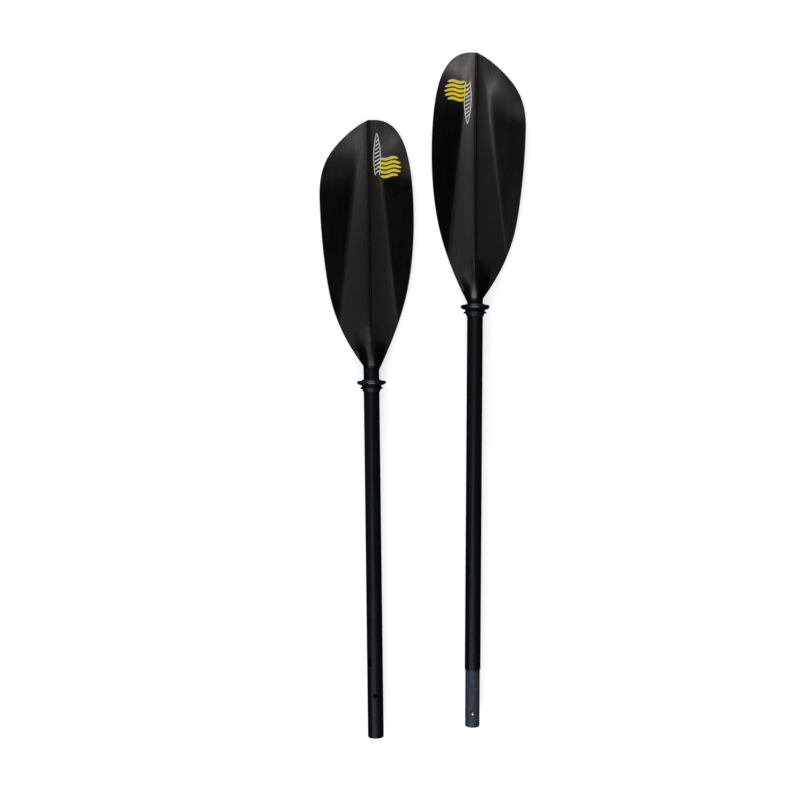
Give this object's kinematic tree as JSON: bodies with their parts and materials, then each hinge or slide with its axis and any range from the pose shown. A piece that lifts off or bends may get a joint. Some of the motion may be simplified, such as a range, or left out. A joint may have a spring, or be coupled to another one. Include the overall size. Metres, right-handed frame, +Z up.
{
  "type": "kayak paddle",
  "caption": "Take-apart kayak paddle, halves side by side: ridged asymmetric blades on round shafts, rubber drip rings, and a ferrule whose sprung button locks into the socket.",
  "frame": {"origin": "under the middle of the box round both halves, on the surface that the paddle lies on", "axes": "+Y along the female shaft from its open end to its blade, +Z up out of the blades' power faces, +X from the female half to the male half"},
  "size_m": [0.3874, 1.2736, 0.0544],
  "materials": {
    "blade_nylon": "satin moulded nylon, with a fine grain",
    "shaft_composite": "satin black glass-fibre tube with a blue cast",
    "ring_rubber": "smooth navy-black rubber",
    "ferrule_composite": "ground matt glass fibre, grey-blue",
    "button_steel": "bright stainless steel",
    "spring_steel": "stainless spring strip",
    "float_foam": "closed-cell foam"
  },
  "bodies": {
    "female_half": {"female_blade": "blade_nylon", "female_shaft": "shaft_composite", "female_float_plug": "float_foam"},
    "female_ring": {"female_drip_ring": "ring_rubber"},
    "male_plug": {"male_float_plug": "float_foam"},
    "male_half": {"male_blade": "blade_nylon", "male_shaft": "shaft_composite", "male_ferrule": "ferrule_composite", "spring_clip": "spring_steel"},
    "male_ring": {"male_drip_ring": "ring_rubber"},
    "button": {"snap_button": "button_steel"}
  },
  "joints": [
    {"name": "swing_into_line", "type": "hinge", "parent": "female_half", "child": "male_plug", "pos_m": [-0.01083, -0.63376, 0.0272], "axis": [0, 0, -1], "range_deg": [0, 178.9]},
    {"name": "ferrule_insert", "type": "slide", "parent": "male_plug", "child": "male_half", "axis": [-0.0192, -0.9998, 0], "range_m": [0, 0.1191]},
    {"name": "button_press", "type": "slide", "parent": "male_half", "child": "button", "axis": [0, 0, 1], "range_m": [-0.0044, 0], "stiffness_N_per_m": 1500, "springref_m": 0.0015, "deforming": ["spring_clip"]},
    {"name": "female_ring_slide", "type": "slide", "parent": "female_half", "child": "female_ring", "axis": [0, -1, 0], "range_m": [-0.015, 0.15]},
    {"name": "male_ring_slide", "type": "slide", "parent": "male_half", "child": "male_ring", "axis": [-0.0192, -0.9998, 0], "range_m": [0, 0.15]}
  ]
}
